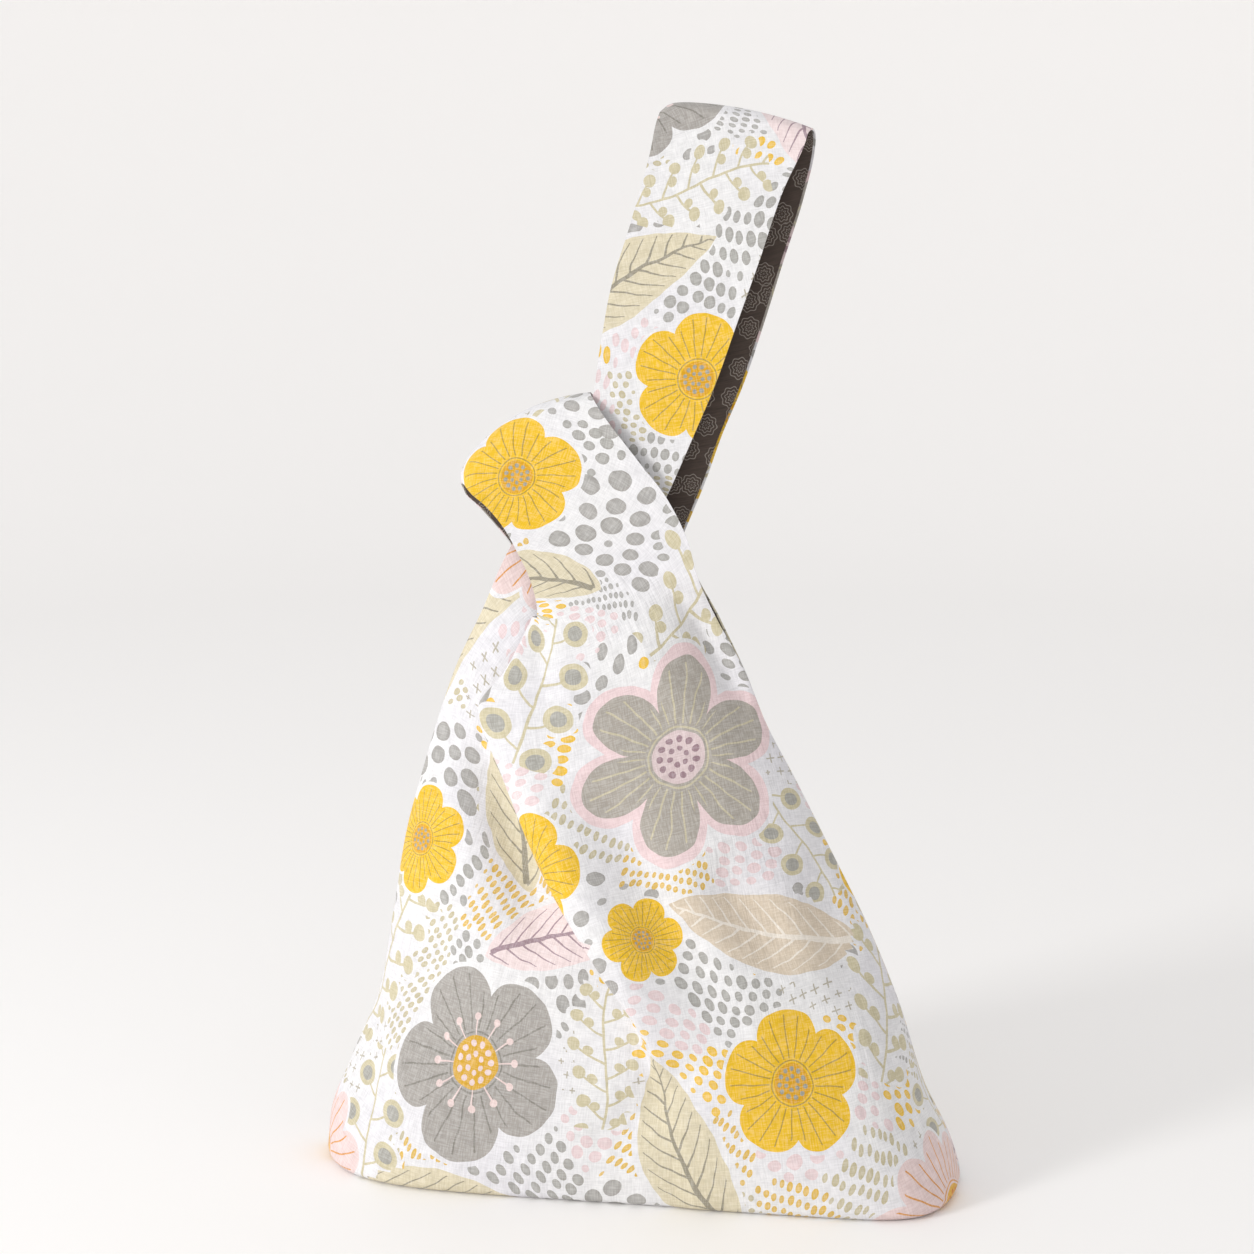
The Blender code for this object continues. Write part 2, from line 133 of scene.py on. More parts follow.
# Soft ridges and troughs along lines from x, z to farX, farZ; a rise below zero is a trough
softFold = namedtuple("softFold", "x z farX farZ halfWidth rise")
frontFolds = rowsOf(
    softFold,
    (-0.078, 0.232, 0.018, 0.072, 0.012, 0.006),
    (-0.036, 0.215, 0.048, 0.082, 0.014, -0.0085),
    (0.011, 0.3, 0.062, 0.235, 0.01, -0.012),
    (-0.019, 0.286, 0.046, 0.21, 0.01, 0.004),
    (0.032, 0.08, -0.023, 0.025, 0.011, -0.0055),
    (-0.13, 0.15, -0.105, 0.05, 0.018, -0.0035),
    (0.09, 0.13, 0.13, 0.035, 0.016, 0.0045),
    (-0.108, 0.235, -0.05, 0.12, 0.013, -0.0135),
    (-0.07, 0.3, -0.056, 0.225, 0.007, -0.003),
    (0.028, 0.17, 0.076, 0.118, 0.013, -0.01),
    (-0.156, 0.1, -0.145, 0.015, 0.008, -0.0035),
    (0.078, 0.175, 0.112, 0.09, 0.011, -0.0055),
    (-0.113, 0.26, -0.125, 0.19, 0.007, -0.003),
)
backFolds = rowsOf(
    softFold,
    (-0.04, 0.19, 0.015, 0.08, 0.014, 0.003),
    (-0.01, 0.27, 0.05, 0.17, 0.012, -0.003),
    (0.07, 0.13, 0.115, 0.03, 0.016, -0.0025),
    (-0.125, 0.13, -0.09, 0.03, 0.018, 0.0025),
)

# Each half of a strap, from the body to its crest: both edges, and how far it lies from the middle
strapRow = namedtuple("strapRow", "leftX leftZ rightX rightZ out")
longFront = rowsOf(
    strapRow,
    (-0.0865, 0.322, -0.012, 0.312, 0.0093),
    (-0.07, 0.35, -0.006, 0.34, 0.0093),
    (-0.0545, 0.377, 0.0035, 0.362, 0.0093),
    (-0.0425, 0.404, 0.0135, 0.386, 0.0096),
    (-0.0385, 0.432, 0.0245, 0.413, 0.0106),
    (-0.0332, 0.465, 0.036, 0.447, 0.0125),
    (-0.0235, 0.5, 0.047, 0.48, 0.013),
    (-0.0145, 0.537, 0.0585, 0.517, 0.0115),
    (-0.011, 0.5575, 0.0695, 0.543, 0.009),
)
longBack = rowsOf(
    strapRow,
    (-0.085, 0.322, -0.001, 0.312, 0.0093),
    (-0.068, 0.35, 0.009, 0.337, 0.0093),
    (-0.0515, 0.377, 0.0185, 0.361, 0.0093),
    (-0.0405, 0.404, 0.0265, 0.385, 0.0096),
    (-0.035, 0.432, 0.038, 0.414, 0.0106),
    (-0.027, 0.465, 0.0475, 0.445, 0.0125),
    (-0.017, 0.5, 0.057, 0.478, 0.013),
    (-0.01, 0.537, 0.068, 0.515, 0.0115),
    (-0.01, 0.5575, 0.0735, 0.541, 0.009),
)
shortFront = rowsOf(
    strapRow,
    (-0.0722, 0.311, 0.019, 0.312, 0.0165),
    (-0.079, 0.324, 0.012, 0.334, 0.0168),
    (-0.087, 0.337, 0.001, 0.354, 0.0168),
    (-0.0965, 0.3475, -0.0155, 0.374, 0.0165),
    (-0.1072, 0.356, -0.037, 0.4005, 0.015),
)
shortBack = rowsOf(
    strapRow,
    (-0.0765, 0.307, 0.0135, 0.311, 0.015),
    (-0.084, 0.3165, 0.005, 0.331, 0.0162),
    (-0.0922, 0.3275, -0.007, 0.351, 0.0168),
    (-0.1045, 0.341, -0.0225, 0.371, 0.0165),
    (-0.1165, 0.353, -0.04, 0.3985, 0.015),
)
# rise and arch of each crest
crestShape = {
    "long": (0.0090, 0.0040), "short": (0.0110, 0.0105),
    "endDrop": 0.55, "endReach": 0.03,  # how a crest falls off at its left end
}


# The rows of points that the cloth lies along

def curved(start, end, leaving, arriving, t):
    # where a curve with these slopes at its ends lies at t, which runs from 0 to 1
    place = start * (1 + 2 * t) * (1 - t) ** 2 + end * t * t * (3 - 2 * t)
    return place + leaving * t * (1 - t) ** 2 - arriving * t * t * (1 - t)


def smoothAt(rows, z):
    # a table's columns at height z, on a curve through its rows that never overshoots them
    table = np.array(rows, float)
    steps = np.diff(table[:, 0])[:, None]
    slopes = np.diff(table, axis=0) / steps
    before, after = slopes[:-1], slopes[1:]
    sameWay = before * after > 0
    middle = np.where(sameWay, 2 * before * after / np.where(sameWay, before + after, 1), 0)
    tangents = np.vstack((slopes[:1], middle, slopes[-1:]))
    k = int(np.clip(np.searchsorted(table[:, 0], z) - 1, 0, len(rows) - 2))
    t = (z - table[k, 0]) / steps[k, 0]
    return curved(*table[k : k + 2], *steps[k] * tangents[k : k + 2], t)


def wallOutline(section, facing):
    # one wall of a level section, left seam to right: length along it, points and outward normals
    across = np.sin(np.linspace(-math.pi / 2, math.pi / 2, clothCut["outlineSteps"] + 1))
    square = np.where(across < 0, section.leftSquare, section.rightSquare)
    bulge = np.clip(1 - np.abs(across) ** square, 0, 1) ** (1 / section.crease)
    depth = section.front if facing == front else section.back
    gape = clothCut["seamGap"] / 2 + np.interp(across, (-1, 1), (section.leftGape, section.rightGape))
    middle = (section.left + section.right) / 2
    half = (section.right - section.left) / 2
    points = np.column_stack(
        (middle + half * across, section.seam + facing * (gape + (depth - gape) * bulge))
    )
    ways = np.gradient(points, axis=0)
    ways /= np.linalg.norm(ways, axis=1)[:, None]
    normals = facing * np.column_stack((-ways[:, 1], ways[:, 0]))
    steps = np.linalg.norm(np.diff(points, axis=0), axis=1)
    return np.concatenate(([0.0], np.cumsum(steps))), points, normals


def foldedOut(x, z, facing):
    out = np.zeros_like(x)
    for fold in frontFolds if facing == front else backFolds:
        run, drop = fold.farX - fold.x, fold.farZ - fold.z
        length = math.hypot(run, drop)
        along = ((x - fold.x) * run + (z - fold.z) * drop) / length**2
        aside = ((x - fold.x) * drop - (z - fold.z) * run) / length
        fading = np.clip(4 * along * (1 - along), 0, 1)
        out += fold.rise * fading * np.exp(-((aside / fold.halfWidth) ** 2))
    return out


def pleatedRow(section, pleat, facing):
    # points across a panel: left part, fold under the flap, tuck, edge of the flap, flap
    cut = clothCut
    length, points, normals = wallOutline(section, facing)
    turn = math.radians(pleat.turn)
    lap = np.interp(pleat.lap, points[:, 0], length)
    radii = pleat.under + pleat.edge
    leftEnd = lap - radii * math.sin(turn) - pleat.tuck * math.cos(turn)
    step = radii * (1 - math.cos(turn)) + pleat.tuck * math.sin(turn)
    under, over = -step * cut["underShare"], step * (1 - cut["underShare"])

    f = np.linspace(0, 1, cut["leftAcross"] + 1) ** cut["leftCrowding"]
    along, out = [leftEnd * f], [under * f * f * (3 - 2 * f)]
    a = turn * np.arange(1, cut["foldAcross"] + 1) / cut["foldAcross"]
    along.append(leftEnd + pleat.under * np.sin(a))
    out.append(under + pleat.under * (1 - np.cos(a)))
    f = np.arange(1, cut["tuckAcross"] + 1) / cut["tuckAcross"]
    along.append(along[-1][-1] + pleat.tuck * math.cos(turn) * f)
    out.append(out[-1][-1] + pleat.tuck * math.sin(turn) * f)
    a = turn * np.arange(cut["foldAcross"] - 1, -1, -1) / cut["foldAcross"]
    along.append(along[-1][-1] + pleat.edge * (math.sin(turn) - np.sin(a)))
    out.append(out[-1][-1] + pleat.edge * (np.cos(a) - math.cos(turn)))
    f = 1 - (1 - np.arange(1, cut["flapAcross"] + 1) / cut["flapAcross"]) ** cut["flapCrowding"]
    along.append(lap + (length[-1] - lap) * f)
    clear = max(lap, leftEnd + pleat.under + cut["tuckRoom"] * cut["thick"] + cut["flapClear"])
    f = np.clip((along[-1] - clear) / (length[-1] - clear), 0, 1)
    out.append(over * (1 - f * f * (3 - 2 * f)))

    along, out = np.concatenate(along), np.concatenate(out)
    at = np.column_stack([np.interp(along, length, points[:, i]) for i in (0, 1)])
    away = np.column_stack([np.interp(along, length, normals[:, i]) for i in (0, 1)])
    seamFade = np.clip(np.minimum(along, length[-1] - along) / cut["foldFade"], 0, 1)
    out += foldedOut(at[:, 0], section.z, facing) * seamFade
    return np.hstack((at + out[:, None] * away, np.full((len(along), 1), section.z)))


def bodyRows(pleats, facing):
    # rows up one panel, from the bottom seam round the foot to the neck
    foot = clothCut["foot"]
    footSection = bodySection(*smoothAt(bodySections, foot))
    footRow = pleatedRow(footSection, pleatRow(*smoothAt(pleats, foot)), facing)
    middle = (footSection.left + footSection.right) / 2
    half = (footSection.right - footSection.left) / 2
    depth = footSection.front if facing == front else footSection.back
    seam = footSection.seam + facing * clothCut["seamGap"] / 2

    def drawnIn(across, inwards, z):
        row = footRow.copy()
        row[:, 0] = middle + (row[:, 0] - middle) * (1 - across / half)
        row[:, 1] = seam + (row[:, 1] - seam) * (1 - inwards)
        row[:, 2] = z
        return row

    rows = []
    for i in range(clothCut["baseUp"]):
        t = 1 - i / clothCut["baseUp"]
        rows.append(drawnIn(foot + clothCut["cornerCut"] * t, foot / depth * (1 - t) + t, 0.0))
    for i in range(clothCut["footUp"]):
        a = math.pi / 2 * i / clothCut["footUp"]
        inset = foot * (1 - math.sin(a))
        rows.append(drawnIn(inset, inset / depth, foot * (1 - math.cos(a))))
    for z in np.linspace(foot, bodySections[-1].z, clothCut["bodyUp"] + 1):
        section = bodySection(*smoothAt(bodySections, z))
        rows.append(pleatedRow(section, pleatRow(*smoothAt(pleats, z)), facing))
    return rows


def acrossStrap(row, facing, count):
    f = np.linspace(0, 1, count)
    x = row.leftX + (row.rightX - row.leftX) * f
    z = row.leftZ + (row.rightZ - row.leftZ) * f
    return np.column_stack((x, np.interp(z, *zip(*strapLean)) + facing * row.out, z))


def overCrest(frontRow, backRow, rise, arch):
    # rows over a strap's top, where front and back are sewn together
    f = np.linspace(0, 1, len(frontRow))
    across = frontRow[-1] - frontRow[0]
    up = np.array((-across[2], 0.0, across[0]))
    up /= np.linalg.norm(up)
    rows = []
    for degrees in clothCut["crestTurns"]:
        a = math.radians(degrees)
        height = math.sin(a) * (rise + arch * 4 * f * (1 - f))
        height *= 1 - crestShape["endDrop"] * np.exp(-f / crestShape["endReach"])
        rows.append(frontRow + (backRow - frontRow) * (1 - math.cos(a)) / 2 + height[:, None] * up)
    return rows


def through(stations, perSpan):
    # rows on a smooth curve through the stations, the first and last of which only give its way
    def way(a, b):
        return np.linalg.norm(b - a, axis=1)[:, None]

    def slope(a, b, c):
        return (b - a) / way(a, b) - (c - a) / (way(a, b) + way(b, c)) + (c - b) / way(b, c)

    rows = []
    for before, start, end, after in zip(stations, stations[1:], stations[2:], stations[3:]):
        leaving = slope(before, start, end) * way(start, end)
        arriving = slope(start, end, after) * way(start, end)
        for t in np.arange(1, perSpan + 1) / perSpan:
            rows.append(curved(start, end, leaving, arriving, t))
    return rows


def strapHalves(frontBody, backBody, frontStrap, backStrap, rise, arch):
    # a strap's rows above the body, up to the seam at its crest: the front's, then the back's
    count = len(frontBody[-1])
    frontRows = [acrossStrap(row, front, count) for row in frontStrap]
    backRows = [acrossStrap(row, back, count) for row in backStrap]
    crest = overCrest(frontRows[-1], backRows[-1], rise, arch)
    lower = -1 - clothCut["bodyUp"] // clothCut["cadBodyUp"]
    loop = [frontBody[lower], frontBody[-1], *frontRows, *crest]
    loop += [*backRows[::-1], backBody[-1], backBody[lower]]
    rows = through(loop, clothCut["bandUp"])
    half = (len(frontRows) + 2) * clothCut["bandUp"]
    gap = np.array((0.0, clothCut["seamGap"] / 2, 0.0))
    seam = rows[half - 1]
    return rows[: half - 1] + [seam - gap], rows[half : len(rows) - 1][::-1] + [seam + gap]


def bothPanels():
    # for each panel its body rows, its rows up the long and the short strap, and where the short starts
    bodies = {front: bodyRows(frontPleat, front), back: bodyRows(backPleat, back)}
    leftEnd = clothCut["leftAcross"] + 1
    rightStart = clothCut["leftAcross"] + 2 * clothCut["foldAcross"] + clothCut["tuckAcross"]
    left = {side: [row[:leftEnd] for row in rows] for side, rows in bodies.items()}
    right = {side: [row[rightStart:] for row in rows] for side, rows in bodies.items()}
    longs = strapHalves(left[front], left[back], longFront, longBack, *crestShape["long"])
    shorts = strapHalves(right[front], right[back], shortFront, shortBack, *crestShape["short"])
    return {
        side: (bodies[side], longs[i], shorts[i], rightStart) for i, side in enumerate((front, back))
    }


# The cloth as one face thick, then with its thickness

def meshOf(name, bm):
    mesh = bpy.data.meshes.new(name)
    bm.to_mesh(mesh)
    bm.free()
    return mesh


def placed(name, data):
    # an object of this data, in the scene
    item = bpy.data.objects.new(name, data)
    bpy.context.collection.objects.link(item)
    return item


def faceAlong(bm, way):
    # faces all turned to one side, the one that looks this way
    bmesh.ops.recalc_face_normals(bm, faces=bm.faces[:])
    if sum(face.normal.dot(way) * face.calc_area() for face in bm.faces) < 0:
        bmesh.ops.reverse_faces(bm, faces=bm.faces[:])


def laySheet(name, rows, longRows, shortRows, rightStart, facing):
    # the panel's outer face: a grid for the body, its top edge drawn out into both straps
    across, up = len(rows[0]) - 1, len(rows) - 1
    bm = bmesh.new()
    bmesh.ops.create_grid(bm, x_segments=across, y_segments=up, size=1.0)
    seam = bm.verts.layers.int.new("seam")
    roll = bm.verts.layers.float.new("roll")
    lines = [[None] * (across + 1) for row in rows]
    for vert in bm.verts:
        column = round((vert.co.x + 1) / 2 * across)
        row = round((vert.co.y + 1) / 2 * up)
        vert.co = rows[row][column]
        lines[row][column] = vert
    for line in lines:
        section = bodySection(*smoothAt(bodySections, line[0].co.z))
        line[0][seam] = int(section.leftGape < clothCut["sewnGape"])
        line[-1][seam] = int(section.rightGape < clothCut["sewnGape"])
        line[0][roll], line[-1][roll] = clothCut["bodyRoll"]
    for vert in lines[0]:
        vert[seam] = 1
    leftRim, rightRim = lines[-1][: clothCut["leftAcross"] + 1], lines[-1][rightStart:]
    for rim, strap, rolls in (
        (leftRim, longRows, clothCut["longRoll"]), (rightRim, shortRows, clothCut["shortRoll"])
    ):
        for points in strap:
            edges = [bm.edges.get(pair) for pair in zip(rim, rim[1:])]
            grown = set(bmesh.ops.extrude_edge_only(bm, edges=edges)["geom"])
            rim = [next(e.other_vert(v) for e in v.link_edges if e.other_vert(v) in grown) for v in rim]
            for vert, point in zip(rim, points):
                vert.co = point
                vert[seam] = 0
                vert[roll] = 0.0
            rim[0][roll], rim[-1][roll] = rolls
        for vert in rim:
            vert[seam] = 1
    faceAlong(bm, Vector((0.0, facing, 0.0)))
    bmesh.ops.translate(bm, vec=(*clothCut["middle"], 0.0), verts=bm.verts[:])
    return meshOf(name, bm)


def read(items, name, width, kind=np.float32):
    values = np.empty(len(items) * width, kind)
    items.foreach_get(name, values)
    return values.reshape(-1, width)


def unfold(mesh):
    # the flat cut of the panel in millimetres: bottom seam at v 0, straps upwards
    holder = placed(mesh.name, mesh)
    mesh.uv_layers.new(name="cut")
    bpy.context.view_layer.objects.active = holder
    holder.select_set(True)
    bpy.ops.object.mode_set(mode="EDIT")
    bpy.ops.mesh.select_all(action="SELECT")
    bpy.ops.uv.unwrap(method="MINIMUM_STRETCH", iterations=unfolding["rounds"], margin=0.0)
    bpy.ops.object.mode_set(mode="OBJECT")
    bpy.data.objects.remove(holder)

    corners = read(mesh.loops, "vertex_index", 1, np.int32).ravel()
    flat = np.zeros((len(mesh.vertices), 2))
    flat[corners] = read(mesh.uv_layers["cut"].data, "uv", 2)
    shape, areas = read(mesh.vertices, "co", 3), read(mesh.polygons, "area", 1)
    quads = flat[corners].reshape(-1, 4, 2)
    across, up = quads[:, 2] - quads[:, 0], quads[:, 3] - quads[:, 1]
    flatArea = np.abs(across[:, 0] * up[:, 1] - across[:, 1] * up[:, 0]).sum() / 2
    flat *= 1000 * math.sqrt(areas.sum() / flatArea)
    body = (shape[:, 2] > unfolding["upFrom"]) & (shape[:, 2] < unfolding["upTo"])
    spread = np.column_stack((flat[body], np.ones(body.sum())))
    upwards = np.linalg.lstsq(spread, shape[body, 2], rcond=None)[0][:2]
    upwards /= np.linalg.norm(upwards)
    flat = np.column_stack((flat @ (upwards[1], -upwards[0]), flat @ upwards))
    bottom = shape[:, 2] < unfolding["bottom"]
    flat -= (flat[body, 0].mean(), flat[bottom, 1].mean())
    area = round(float(areas.sum()), 3)
    print(mesh.name, "cut, mm:", np.ptp(flat, axis=0).round(), "square metres:", area)
    return flat, corners


# The printed repeat: where each motif lies in millimetres of flat cloth, and its turn in degrees
repeatSize = {"wide": 320.0, "high": 350.0, "frontShift": (0.0, 0.0), "backShift": (95.0, 140.0)}

# A flower's width is that of its petals as a share of its radius, and its tone picks its inks: each
# has a fifth of the range, in the order of the inks below
mustard, haloed, openGrey, blush, lilac = 0.1, 0.3, 0.5, 0.7, 0.9
halfTone = 0.1
printFlower = namedtuple("printFlower", "u v radius turn petals width tone")
printFlowers = rowsOf(
    printFlower,
    (62, 262, 51, 12, 6, 0.31, haloed),
    (232, 96, 48, -20, 5, 0.45, openGrey),
    (150, 8, 42, 0, 9, 0.28, blush),
    (84, 92, 35, 15, 5, 0.48, mustard),
    (168, 196, 29, 30, 6, 0.40, mustard),
    (292, 226, 31, -15, 5, 0.48, mustard),
    (22, 176, 22, 0, 6, 0.40, mustard),
    (214, 312, 26, 0, 9, 0.28, lilac),
)
flowerInks = {
    "petal": ("#FBCB2A", "#BAB3A9", "#B5B0AA", "#F6DEDB", "#E6D3D6"),
    "vein": ("#BFA04A", "#D6CDB0", "#96928A", "#E9A558", "#B59AA2"),
    "heart": ("#E9AE1C", "#EBD6D6", "#E3B23A", "#F0B83A", "#F0E4E2"),
    "dot": ("#A9A89A", "#AC8F97", "#F3DCD8", "#E58F3A", "#B59AA2"),
    "halo": "#F9DFE0",
}
# in shares of the radius; room, halo and veinTo in shares of a petal
flowerShape = {
    "middle": 0.58, "half": 0.42, "flare": (0.45, 0.66),
    "room": 1.12, "halo": 1.26, "haloRoom": 0.24,
    "vein": 0.0015, "veinFrom": 0.34, "veinTo": 0.84, "veins": 5.0, "fewerVeins": -2.0,
    "heart": 0.27, "ring": (0.305, 0.010),
    # rings of dots: radius, count and size
    "dots": ((0.19, 11, 0.034), (0.09, 6, 0.030)), "stamens": (0.47, 12, 0.040), "thread": 0.011,
}

# Leaves, berried sprigs and ringed berries, each along its own stem; a leaf's tone picks its inks
leafKind, sprigKind, berryKind = 1.0, 2.0, 3.0
halfKind = 0.5
sand, tan, pink = 1 / 6, 3 / 6, 5 / 6
printSpray = namedtuple("printSpray", "u v length turn kind tone", defaults=(0.0,))
printSprays = rowsOf(
    printSpray,
    (150, 292, 116, 75, leafKind, sand),
    (26, 64, 110, 110, leafKind, sand),
    (268, 168, 96, 20, leafKind, pink),
    (226, 20, 104, 5, leafKind, sand),
    (262, 300, 104, 60, leafKind, tan),
    (152, 128, 104, 60, sprigKind),
    (222, 240, 112, 100, leafKind, sand),
    (90, 168, 108, 160, leafKind, tan),
    (100, 338, 96, 20, sprigKind),
    (301, 113, 84, 88, sprigKind),
    (317, 321, 92, 62, berryKind),
    (181, 50, 76, 95, berryKind),
    (119, 208, 70, -70, berryKind),
)
sprayWidths = {leafKind: 0.42, sprigKind: 0.56, berryKind: 0.66}
leafInks = {"leaf": ("#E9DEC0", "#E6D6C0", "#FCE9E8"), "vein": ("#A69F8C", "#FAF1E4", "#B097A0")}
sprigInks = {"stem": "#DBD1AF", "core": "#B4B2AA"}
# both in shares of half the length; a pair of numbers is a slope and its start
leafShape = {
    "bend": 0.14, "half": 0.36, "taper": 0.07, "round": 0.85, "room": 1.18,
    "rib": 0.06, "ribHalf": (-0.012, 0.020), "ribTo": 0.92,
    "veins": 5.4, "sweep": (1.3, 0.8), "setOver": 0.09, "vein": (-0.045, 0.085), "veinTo": 0.88,
}
sprigShape = {
    "wave": 2.2, "swing": -0.12, "pitch": (0.20, 0.34), "twig": (-0.15, 0.40), "line": 0.016,
    "slope": 0.20, "start": 0.03, "curl": 1.4, "to": 0.95, "room": 0.055, "core": 0.095, "long": 0.88,
    # berries: place along the twig, size, what a ringed one adds, and how far beside the twig
    "berries": ((1.0, 0.076, 0.086, 0.0), (0.52, 0.058, 0.0, 0.060)),
}

# What fills the cloth between them: shapes in cells of this size in millimetres, turned in degrees.
# Each ink shows in its own patches, from low to high of a tone that changes from patch to patch.
dotShape, crossShape = 1, 2
printFiller = namedtuple("printFiller", "wide high turn size loose shape inks")
pebbleInks = ((0.00, 0.22, "#B0ADA8"),)
ovalInks = ((0.22, 0.38, "#B0AEA8"), (0.38, 0.52, "#FACA2B"), (0.90, 1.01, "#F3DBDC"))
grainInks = ((0.52, 0.59, "#EBC04A"), (0.59, 0.68, "#CFC4A0"), (0.80, 0.90, "#B4B2AD"))
crossInks = ((0.68, 0.80, "#C3BCAB"),)
printFillers = rowsOf(
    printFiller,
    (10.4, 13.0, 25, 0.44, 0.10, dotShape, pebbleInks),
    (6.4, 8.4, 60, 0.43, 0.12, dotShape, ovalInks),
    (3.8, 6.6, -30, 0.38, 0.22, dotShape, grainInks),
    (7.8, 7.8, 8, 0.36, 0.14, crossShape, crossInks),
)
# in shares of a cell, but small and inkTo in shares of a shape's size, and ink in shares of its
# colour: that is what the middle of a shape shows, and it is full from inkTo on
fillerLook = {"crossArm": 0.05, "least": 0.16, "small": 0.74, "atRim": 0.12, "ink": 0.80, "inkTo": 0.90}
patchSize = 35.0
fillerBend = {"Scale": 0.014, "Detail": 0.0}  # this noise bends the lines of fillers
fillerWander = 24.0  # by up to this many millimetres
# what keeps the fillers off a motif: millimetres, and its rim in shares of its own reach
motifRoom = {"cell": 16.0, "gap": 0.6, "flowerRim": 0.94, "sprayRim": 0.86, "sprayHalf": 0.38}
offMotif, farAway = 9.0, 100.0  # what a face that lies in no motif reads for place and for size


def inCells(flat, corners, motifs):
    # for each face corner its place in the motif that its face lies in, in shares of its reach
    faces = corners.reshape(-1, 4)
    centres = flat[faces].mean(axis=1)
    nearest = np.full(len(faces), np.inf)
    held = np.zeros(len(faces), np.int32)
    place = np.full((len(faces), 4, 2), offMotif)
    size = np.array((repeatSize["wide"], repeatSize["high"]))
    for number, (item, reach, width, _) in enumerate(motifs, 1):
        turn = math.radians(item.turn)
        along = np.array((math.cos(turn), math.sin(turn)))
        aside = np.array((-along[1], along[0]))
        gaps = centres - (item.u, item.v)
        lap = size * np.round(gaps / size)
        gaps -= lap
        far = np.hypot(gaps @ along / reach, gaps @ aside / reach / width)
        mine = (far < nearest) & (far < 1 + motifRoom["cell"] / (reach * width))
        nearest[mine] = far[mine]
        held[mine] = number
        gaps = flat[faces[mine]] - (item.u, item.v) - lap[mine][:, None]
        place[mine] = np.stack((gaps @ along / reach, gaps @ aside / reach), axis=-1)
    return place.reshape(-1, 2), np.repeat(held, 4)


def printCloth(mesh, flat, corners, shift):
    # what the print's material reads for flowers and for sprays: the place in the motif, what the
    # motif looks like, and its turn and size
    shifted = flat + shift
    flowers = [(f, f.radius, 1.0, (f.petals, f.width, f.tone)) for f in printFlowers]
    sprays = [(s, s.length / 2, sprayWidths[s.kind], (s.kind, s.tone, 0.0)) for s in printSprays]
    for name, motifs, half in (("flower", flowers, 1.0), ("spray", sprays, motifRoom["sprayHalf"])):
        place, held = inCells(shifted, corners, motifs)
        forms, ways = [(0.0, 0.0, 0.0)], [(0.0, 0.0, farAway)]
        for item, reach, _, form in motifs:
            a = math.radians(item.turn)
            forms.append(form)
            ways.append((math.cos(a) / reach, math.sin(a) / reach, reach * half))
        for layer, values in (
            ("Place", np.column_stack((place, held > 0))),
            ("Form", np.array(forms)[held]),
            ("Way", np.array(ways)[held]),
        ):
            attribute = mesh.attributes.new(name + layer, "FLOAT_VECTOR", "CORNER")
            attribute.data.foreach_set("vector", values.astype(np.float32).ravel())
    mesh.uv_layers["cut"].data.foreach_set("uv", (shifted[corners] / 1000).astype(np.float32).ravel())


def thicken(sheet, name, depth, node, material):
    # one cloth of the panel as a thin closed piece, its face this deep under the sheet
    bm = bmesh.new()
    bm.from_mesh(sheet)
    bm.normal_update()
    seam = bm.verts.layers.int["seam"]
    out = bm.verts.layers.float_vector.new("out")
    for vert in bm.verts:
        away = vert.normal.copy()
        if vert[seam]:
            away.y = 0.0
            away.normalize()
        vert[out] = away
    roll = bm.verts.layers.float["roll"]
    inset = {}
    if depth:
        for vert in (item for item in bm.verts if item[roll] and not item[seam]):
            inner = [e.other_vert(vert).co for e in vert.link_edges if not e.is_boundary]
            if inner:
                way = inner[0] - vert.co
                inset[vert] = way * min(clothCut["rollMost"], vert[roll] / way.length)
    for vert in bm.verts:
        vert.co += inset.get(vert, Vector()) - vert[out] * depth
    grown = bmesh.ops.extrude_face_region(bm, geom=bm.faces[:])
    for vert in (item for item in grown["geom"] if isinstance(item, bmesh.types.BMVert)):
        vert.co -= vert[out] * clothCut["thick"]
    bmesh.ops.recalc_face_normals(bm, faces=bm.faces[:])
    mesh = meshOf(name, bm)
    mesh.shade_smooth()
    mesh.set_sharp_from_angle(angle=math.radians(clothCut["sharpFrom"]))
    mesh.materials.append(material)
    piece = placed(name, mesh)
    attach(piece, "root")
    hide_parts(node)
    return piece


# Materials

def ink(code):
    # an sRGB hex value as a linear colour
    parts = [int(code[i : i + 2], 16) / 255 for i in (1, 3, 5)]
    return tuple(c / 12.92 if c <= 0.04045 else ((c + 0.055) / 1.055) ** 2.4 for c in parts) + (1.0,)


flatNoise = {"noise_dimensions": "2D", "out": "Color"}


def addNode(tree, kind, *inputs, at=None, out=0, stops=(), **settings):
    # one node with its settings and links: "VectorMath ADD" adds vectors, "ADD" alone adds numbers,
    # out is the output that is wanted, and a ramp's stops are inks that share its range evenly
    kind, _, operation = ("Math " + kind if kind.isupper() else kind).partition(" ")
    node = tree.nodes.new("ShaderNode" + kind)
    if operation:
        setattr(node, "blend_type" if kind == "MixRGB" else "operation", operation)
    for name, value in settings.items():
        setattr(node, name, value)
    if stops:
        ramp = node.color_ramp
        ramp.interpolation = "CONSTANT"
        while len(ramp.elements) < len(stops):
            ramp.elements.new(1.0)
        for i, code in enumerate(stops):
            ramp.elements[i].position = i / len(stops)
            ramp.elements[i].color = ink(code)
    for key, value in [*enumerate(inputs), *(at or {}).items()]:
        if isinstance(value, bpy.types.NodeSocket):
            tree.links.new(value, node.inputs[key])
        else:
            node.inputs[key].default_value = value
    return node.outputs[out] if node.outputs else None


def newMaterial(name):
    # a material, and what adds a node to it
    material = bpy.data.materials.new(name)
    material.use_nodes = True
    material.node_tree.nodes.clear()
    return material, partial(addNode, material.node_tree)


